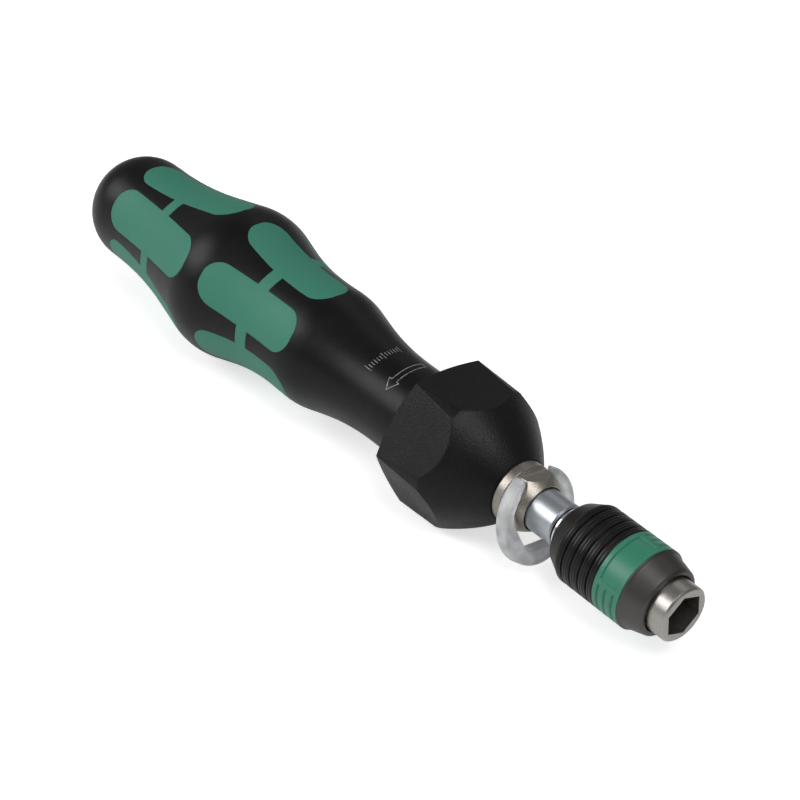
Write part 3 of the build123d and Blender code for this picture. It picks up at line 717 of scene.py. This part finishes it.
def dress_nut():
    """The nut with its round base, its milled flats and its threaded collar."""
    mouth_rear = NUT_FRONT - MOUTH_DEPTH
    thread_rear = COLLAR_FRONT - THREADS * THREAD_PITCH
    root_radius = COLLAR_RADIUS - THREAD_DEPTH
    section = [(mouth_rear, NUT_BORE), (mouth_rear, MOUTH_RADIUS), (NUT_FRONT, MOUTH_RADIUS)]
    skin = stations(NUT_FRONT, NOSE_FRONT, 0.08, [CONE_REAR, BASE_FRONT], 0.03)
    section += [(x, BASE_RADIUS) for x in skin]
    section += [(COLLAR_FRONT, BASE_RADIUS)]
    for k in range(THREADS):
        crest = COLLAR_FRONT - THREAD_PITCH * k
        section += [(crest, COLLAR_RADIUS), (crest - THREAD_CREST, COLLAR_RADIUS)]
        section += [(crest - THREAD_CREST, root_radius), (crest - THREAD_PITCH, root_radius)]
    section += [(thread_rear, COLLAR_RADIUS), (NUT_REAR, COLLAR_RADIUS), (NUT_REAR, NUT_BORE)]
    corners = [FLAT_TURN + 60.0 * k + side for k in range(-1, 6) for side in CORNER_SIDES]
    angles = stations(-90.0, 270.0, 1.0, corners, 0.3)[:-1]
    mesh = ring_mesh("nut_relief", section, angles, nut_cut)
    mesh.materials.append(nut_nickel)
    nut = settled_object("nut_relief", mesh, crease=24.0)
    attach(nut, "nut")
    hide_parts("adjusting_nut")


def dress_bright_ring():
    """Narrow polished ring on the spindle, between its necked recess and the collar."""
    section = [(BRIGHT_FRONT, BRIGHT_BORE), (BRIGHT_FRONT, BRIGHT_RADIUS - BRIGHT_EDGE)]
    section += [(BRIGHT_FRONT - BRIGHT_EDGE, BRIGHT_RADIUS), (BRIGHT_REAR + BRIGHT_EDGE, BRIGHT_RADIUS)]
    section += [(BRIGHT_REAR, BRIGHT_RADIUS - BRIGHT_EDGE), (BRIGHT_REAR, BRIGHT_BORE)]
    angles = [360.0 * k / 192 for k in range(192)]
    mesh = ring_mesh("bright_ring", section, angles)
    mesh.materials.append(ring_chrome)
    ring = settled_object("bright_ring", mesh)
    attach(ring, "spindle")


# Printed marks on the handle's neck: a turning arrow over a row of ticks

# Places are (x, angle); MARK_RADIUS is the neck's radius there, and OUTSIDE is clear of the handle, in metres
MARK_RADIUS = 10.0
MARK_LIFT = 0.012
ARROW_PLACE = (-71.3, 14.0)
TICKS_PLACE = (-77.5, 14.0)
TICK_COUNT, TICK_PITCH = 13, 0.7
ARROW_OUTLINE = [(5.6, 0.0), (2.9, 1.45), (2.9, 0.7), (-5.2, 0.7), (-5.2, -0.7), (2.9, -0.7), (2.9, -1.45)]
ARROW_LINE, ARROW_STEP = 0.16, 0.35
OUTSIDE = 0.03


def handle_surface():
    """The handle's skin as a tree to cast rays on, from a merged copy of its mesh."""
    loose = bmesh.new()
    loose.from_mesh(nodes["handle_core"].data)
    bmesh.ops.remove_doubles(loose, verts=loose.verts, dist=1e-7)
    loose.transform(nodes["handle_core"].matrix_world)
    tree = BVHTree.FromBMesh(loose)
    loose.free()
    return tree


def lay_on_handle(points, place, skin):
    """Flat points (round, along) in mm, wrapped on the neck about place = (x, angle)."""
    laid = []
    for round_it, along in points:
        turn = radians(place[1]) + round_it / MARK_RADIUS
        outward = Vector((0.0, -sin(turn), cos(turn)))
        start = Vector(((place[0] + along) * MM, 0.0, 0.0)) + outward * OUTSIDE
        hit = skin.ray_cast(start, -outward)[0]
        laid.append(hit + outward * MARK_LIFT * MM)
    return laid


def outline_strip(corners, width, step):
    """Band of even width just inside a closed outline, cut short enough to follow a curve."""
    count = len(corners)
    inner = []
    for k in range(count):
        before, here = Vector(corners[k - 1]), Vector(corners[k])
        after = Vector(corners[(k + 1) % count])
        first, second = (here - before).normalized(), (after - here).normalized()
        side = Vector((-first.y - second.y, first.x + second.x))
        inner.append(here + side * (width / (1.0 + first.dot(second))))
    outer_line, inner_line = [], []
    for k in range(count):
        j = (k + 1) % count
        parts = max(1, round((Vector(corners[j]) - Vector(corners[k])).length / step))
        for i in range(parts):
            outer_line.append(tuple(Vector(corners[k]).lerp(Vector(corners[j]), i / parts)))
            inner_line.append(tuple(inner[k].lerp(inner[j], i / parts)))
    size = len(outer_line)
    faces = [(k, (k + 1) % size, size + (k + 1) % size, size + k) for k in range(size)]
    return outer_line + inner_line, faces


def tick_row_group():
    """Bars in an even row, with every sixth one longer, on a flat sheet: round is X, along is Y."""
    inputs = [
        ("Geometry", "NodeSocketGeometry", None),
        ("Count", "NodeSocketInt", TICK_COUNT),
        ("Pitch", "NodeSocketFloat", TICK_PITCH),
        ("Width", "NodeSocketFloat", 0.14),
        ("Length", "NodeSocketFloat", 1.1),
        ("Long Factor", "NodeSocketFloat", 1.7),
        ("Material", "NodeSocketMaterial", None),
    ]
    outputs = [("Geometry", "NodeSocketGeometry")]
    group, given, out = start_group("tick_row", inputs, outputs, "GeometryNodeTree")
    bar = node(group, "GeometryNodeMeshGrid", "one tick")
    bar.inputs["Vertices X"].default_value = 2
    bar.inputs["Vertices Y"].default_value = 9
    link(group, given.outputs["Width"], bar.inputs["Size X"])
    link(group, given.outputs["Length"], bar.inputs["Size Y"])
    row = node(group, "GeometryNodeMeshLine", "row")
    link(group, given.outputs["Count"], row.inputs["Count"])
    step = node(group, "ShaderNodeCombineXYZ", "step")
    link(group, given.outputs["Pitch"], step.inputs["X"])
    link(group, step.outputs[0], row.inputs["Offset"])
    index = node(group, "GeometryNodeInputIndex").outputs[0]
    sixth = math(group, "COMPARE", math(group, "MODULO", index, 6.0), 0.0)
    extra = math(group, "SUBTRACT", given.outputs["Long Factor"], 1.0)
    longer = math(group, "ADD", math(group, "MULTIPLY", sixth, extra), 1.0)
    stretch = node(group, "ShaderNodeCombineXYZ", "stretch")
    stretch.inputs["X"].default_value = 1.0
    stretch.inputs["Z"].default_value = 1.0
    link(group, longer, stretch.inputs["Y"])
    placed = node(group, "GeometryNodeInstanceOnPoints")
    link(group, row.outputs["Mesh"], placed.inputs["Points"])
    link(group, bar.outputs["Mesh"], placed.inputs["Instance"])
    link(group, stretch.outputs[0], placed.inputs["Scale"])
    end_group(group, placed.outputs["Instances"], given.outputs["Material"], out)
    return group


def print_neck_marks():
    skin = handle_surface()
    values = {"Count": TICK_COUNT, "Pitch": TICK_PITCH, "Material": mark_ink}
    ticks = run_group(tick_row_group(), values, bpy.data.meshes.new("tick_sheet"))
    half_row = TICK_PITCH * (TICK_COUNT - 1) / 2
    flat = [(point.co.x - half_row, point.co.y) for point in ticks.vertices]
    points = lay_on_handle(flat, TICKS_PLACE, skin)
    faces = [tuple(face.vertices) for face in ticks.polygons]
    band, band_faces = outline_strip(ARROW_OUTLINE, ARROW_LINE, ARROW_STEP)
    start = len(points)
    points += lay_on_handle(band, ARROW_PLACE, skin)
    faces += [tuple(start + k for k in face) for face in band_faces]
    mesh = bpy.data.meshes.new("neck_marks")
    mesh.from_pydata([tuple(point) for point in points], [], faces)
    for face in mesh.polygons:
        if face.normal.y * face.center.y + face.normal.z * face.center.z < 0.0:
            face.flip()
    mesh.materials.append(mark_ink)
    marks = bpy.data.objects.new("neck_marks", mesh)
    scene.collection.objects.link(marks)
    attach(marks, "handle")


dress_marker_ring()
dress_grip()
dress_nut()
dress_bright_ring()
print_neck_marks()


# Floor and light

FLOOR_SLOPE = radians(2.2)
FLOOR_POINT = Vector((-0.1240, 0.0, -0.01602))
FLOOR_REACH = 4.0
LAMP_AIM = Vector((-0.09, 0.0, 0.0))


def lay_floor():
    """Pale floor under the handle's belly and the nose's lower front edge."""
    along = Vector((cos(FLOOR_SLOPE), 0.0, sin(FLOOR_SLOPE))) * FLOOR_REACH
    across = Vector((0.0, 1.0, 0.0)) * FLOOR_REACH
    corners = [FLOOR_POINT + along * a + across * b for a, b in ((-1, -1), (1, -1), (1, 1), (-1, 1))]
    mesh = bpy.data.meshes.new("floor")
    mesh.from_pydata([tuple(corner) for corner in corners], [], [(0, 1, 2, 3)])
    floor = bpy.data.objects.new("floor", mesh)
    scene.collection.objects.link(floor)
    pale, tree, shader, place = start_material("floor_pale", (0.8, 0.8, 0.8, 1), 0.9)
    shader.inputs["Emission Color"].default_value = (1.0, 1.0, 1.0, 1)
    seen = node(tree, "ShaderNodeLightPath").outputs["Is Camera Ray"]
    link(tree, ramp(tree, seen, 0.0, 1.0, 0.2, 0.65), shader.inputs["Emission Strength"])
    shader.inputs["Specular IOR Level"].default_value = 0.0
    cloud = node(tree, "ShaderNodeTexNoise")
    cloud.inputs["Scale"].default_value = 3.0
    link(tree, place, cloud.inputs["Vector"])
    shade = mix_colours(tree, cloud.outputs["Fac"], (0.79, 0.79, 0.79, 1), (0.81, 0.81, 0.81, 1))
    link(tree, shade, shader.inputs["Base Color"])
    mesh.materials.append(pale)


def soft_light(name, place, size, power):
    """Wide lamp that looks at the tool's middle; its size is (width, height) and its power is in watts."""
    lamp = bpy.data.lights.new(name, "AREA")
    lamp.shape = "RECTANGLE"
    lamp.size, lamp.size_y = size
    lamp.energy = power
    stand = bpy.data.objects.new(name, lamp)
    stand.location = place
    stand.rotation_euler = (LAMP_AIM - Vector(place)).to_track_quat("-Z", "Y").to_euler()
    scene.collection.objects.link(stand)


lay_floor()
soft_light("window", (-1.17, -1.12, 0.9), (1.0, 0.9), 15.0)
soft_light("overhead", (0.33, -0.15, 0.79), (0.5, 0.5), 3.7)
soft_light("rear", (-0.35, 0.6, 0.75), (0.6, 0.4), 0.35)

world = bpy.data.worlds.new("white_room")
world.use_nodes = True
backdrop = world.node_tree.nodes["Background"]
backdrop.inputs["Color"].default_value = (1.0, 1.0, 1.0, 1)
backdrop.inputs["Strength"].default_value = 0.22
scene.world = world
scene.view_settings.view_transform = "Standard"
